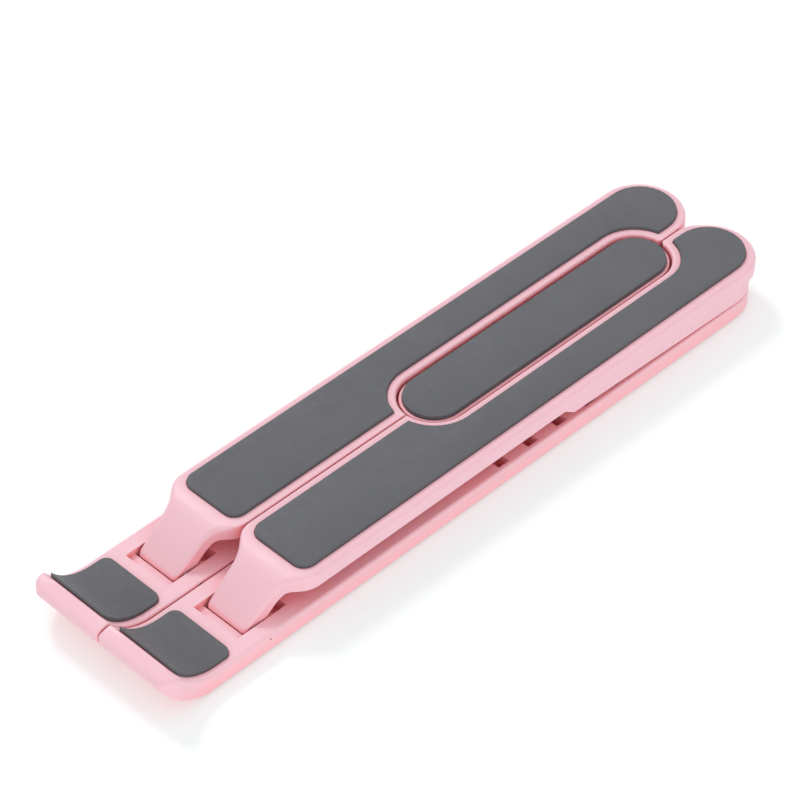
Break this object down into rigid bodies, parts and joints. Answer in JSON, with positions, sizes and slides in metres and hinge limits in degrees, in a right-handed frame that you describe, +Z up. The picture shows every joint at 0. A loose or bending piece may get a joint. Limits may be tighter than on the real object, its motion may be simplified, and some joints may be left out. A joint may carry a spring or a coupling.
{
  "type": "folding laptop stand",
  "caption": "Folding desk stand that lifts a laptop: hooked base rails that splay, padded tilting arms and prop legs that drop into a row of pits.",
  "frame": {"origin": "middle of the stowed stand's footprint, on the desk", "axes": "+X to the user's right, +Y from the hooked front lips to the rear, +Z up from the desk"},
  "size_m": [0.054, 0.238, 0.0172],
  "materials": {
    "shell": "fine satin moulded plastic, pale pink",
    "pads": "matte grey silicone",
    "feet": "matte dark rubber",
    "pins": "plain steel"
  },
  "bodies": {
    "hub": {"hub_plate": "shell", "center_capsule": "shell", "center_pad": "pads", "capsule_screw_1": "pins", "capsule_screw_2": "pins", "swivel_pin_left": "pins", "swivel_pin_right": "pins"},
    "rail_l": {"rail_left": "shell", "hook_pad_left": "pads", "foot_front_left": "feet", "foot_rear_left": "feet", "hinge_pin_left": "pins"},
    "rail_r": {"rail_right": "shell", "hook_pad_right": "pads", "foot_front_right": "feet", "foot_rear_right": "feet", "hinge_pin_right": "pins"},
    "arm_l": {"arm_left": "shell", "arm_pad_left": "pads", "leg_pin_left": "pins"},
    "arm_r": {"arm_right": "shell", "arm_pad_right": "pads", "leg_pin_right": "pins"},
    "leg_l": {"leg_left": "shell"},
    "leg_r": {"leg_right": "shell"}
  },
  "joints": [
    {"name": "rail_left_swing", "type": "hinge", "parent": "hub", "child": "rail_l", "pos_m": [-0.0055, 0.10805, 0.0045], "axis": [0, 0, 1], "range_deg": [-20, 0]},
    {"name": "rail_right_swing", "type": "hinge", "parent": "hub", "child": "rail_r", "pos_m": [0.0055, 0.10805, 0.0045], "axis": [0, 0, 1], "range_deg": [0, 20]},
    {"name": "arm_left_tilt", "type": "hinge", "parent": "rail_l", "child": "arm_l", "pos_m": [-0.0135, -0.08295, 0.0044], "axis": [1, 0, 0], "range_deg": [0, 47.6]},
    {"name": "arm_right_tilt", "type": "hinge", "parent": "rail_r", "child": "arm_r", "pos_m": [0.0135, -0.08295, 0.0044], "axis": [1, 0, 0], "range_deg": [0, 47.6]},
    {"name": "leg_left_swing", "type": "hinge", "parent": "arm_l", "child": "leg_l", "pos_m": [-0.0175, -0.00945, 0.0122], "axis": [1, 0, 0], "range_deg": [-95.2, 0]},
    {"name": "leg_right_swing", "type": "hinge", "parent": "arm_r", "child": "leg_r", "pos_m": [0.0175, -0.00945, 0.0122], "axis": [1, 0, 0], "range_deg": [-95.2, 0]}
  ],
  "couplings": [
    {"joint": "leg_left_swing", "follows": "arm_left_tilt", "ratio": -2},
    {"joint": "leg_right_swing", "follows": "arm_right_tilt", "ratio": -2}
  ]
}
